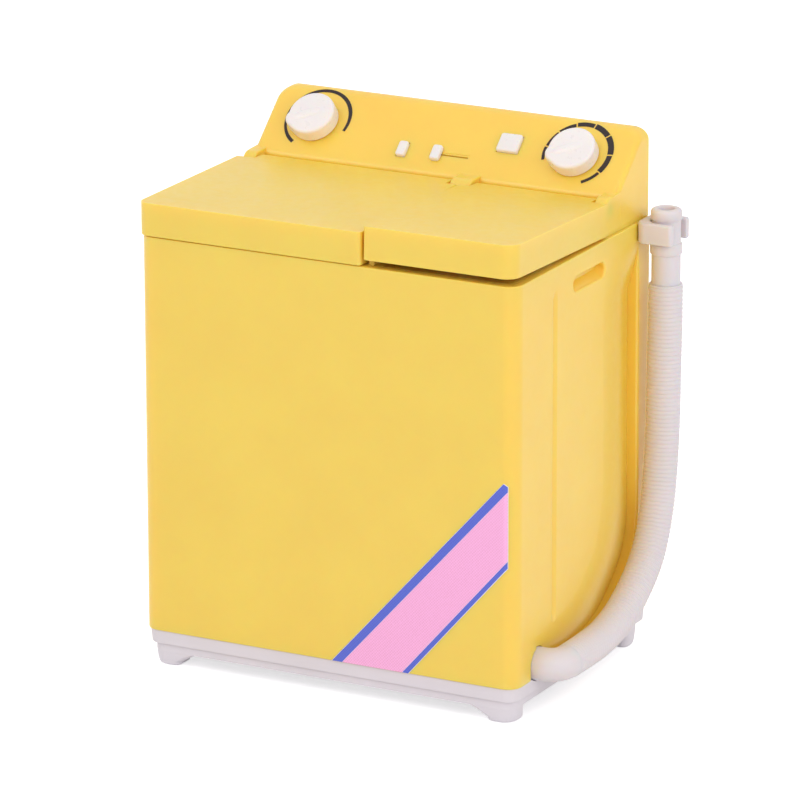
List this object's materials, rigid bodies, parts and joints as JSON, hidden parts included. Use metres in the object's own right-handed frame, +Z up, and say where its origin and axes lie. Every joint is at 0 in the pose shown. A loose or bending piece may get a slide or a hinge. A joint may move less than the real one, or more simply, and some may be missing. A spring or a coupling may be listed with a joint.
{
  "type": "toy twin-tub washing machine",
  "caption": "Yellow dolls' house twin-tub washer with hinged lids, sloping control panel, turning knobs, keys, tubs and a ribbed drain hose at its side.",
  "frame": {"origin": "on the floor, at the middle of the whole machine's bounding box", "axes": "+X to the machine's right (hose side) as its user faces it, +Y to its back, +Z up"},
  "size_m": [0.066, 0.0442, 0.0774],
  "materials": {
    "cabinet": "satin gloss, yellow",
    "base": "satin, pale grey",
    "tub": "satin, white",
    "inner": "satin, off-white",
    "knob": "satin, white",
    "hose": "soft, off-white",
    "hose_fitting": "satin, off-white"
  },
  "bodies": {
    "machine": {"cabinet_shell": "cabinet", "rear_cover": "cabinet", "base_tray": "base", "top_deck": "cabinet", "wash_tub": "tub", "spin_well": "tub", "console_shell": "cabinet", "drain_hose": "hose", "hose_elbow": "hose_fitting", "hose_cuff": "hose_fitting", "hose_clip": "hose_fitting"},
    "wash_lid": {"wash_lid": "cabinet"},
    "spin_lid": {"spin_lid": "cabinet"},
    "pulsator": {"pulsator": "inner", "pulsator_clip": "inner"},
    "basket": {"spin_basket": "inner", "basket_clip": "inner"},
    "wash_knob": {"wash_knob": "knob", "wash_knob_clip": "inner"},
    "spin_knob": {"spin_knob": "knob", "spin_knob_clip": "inner"},
    "push_key": {"push_key": "knob"},
    "slide_key": {"slide_key": "knob"},
    "square_key": {"square_key": "knob"}
  },
  "joints": [
    {"name": "wash_lid_hinge", "type": "hinge", "parent": "machine", "child": "wash_lid", "pos_m": [-0.01428, 0.00915, 0.0678], "axis": [-1, 0, 0], "range_deg": [0, 96]},
    {"name": "spin_lid_hinge", "type": "hinge", "parent": "machine", "child": "spin_lid", "pos_m": [0.01496, 0.00915, 0.0678], "axis": [-1, 0, 0], "range_deg": [0, 94]},
    {"name": "wash_knob_turn", "type": "hinge", "parent": "machine", "child": "wash_knob", "pos_m": [-0.02438, 0.01531, 0.07333], "axis": [0, 0.6741, -0.7386], "range_deg": [-33, 224]},
    {"name": "spin_knob_turn", "type": "hinge", "parent": "machine", "child": "spin_knob", "pos_m": [0.01782, 0.01512, 0.07316], "axis": [0, 0.6741, -0.7386], "range_deg": [0, 267]},
    {"name": "pulsator_spin", "type": "hinge", "parent": "machine", "child": "pulsator", "pos_m": [-0.01428, -0.0069, 0.0241], "axis": [0, 0, 1], "continuous": true},
    {"name": "basket_spin", "type": "hinge", "parent": "machine", "child": "basket", "pos_m": [0.01496, -0.00735, 0.0261], "axis": [0, 0, 1], "continuous": true},
    {"name": "push_key_press", "type": "slide", "parent": "machine", "child": "push_key", "axis": [0, 0.6741, -0.7386], "range_m": [0, 0.0005], "stiffness_N_per_m": 60},
    {"name": "square_key_press", "type": "slide", "parent": "machine", "child": "square_key", "axis": [0, 0.6741, -0.7386], "range_m": [0, 0.0005], "stiffness_N_per_m": 80},
    {"name": "slide_key_slide", "type": "slide", "parent": "machine", "child": "slide_key", "axis": [1, 0, 0], "range_m": [0, 0.0046]}
  ]
}
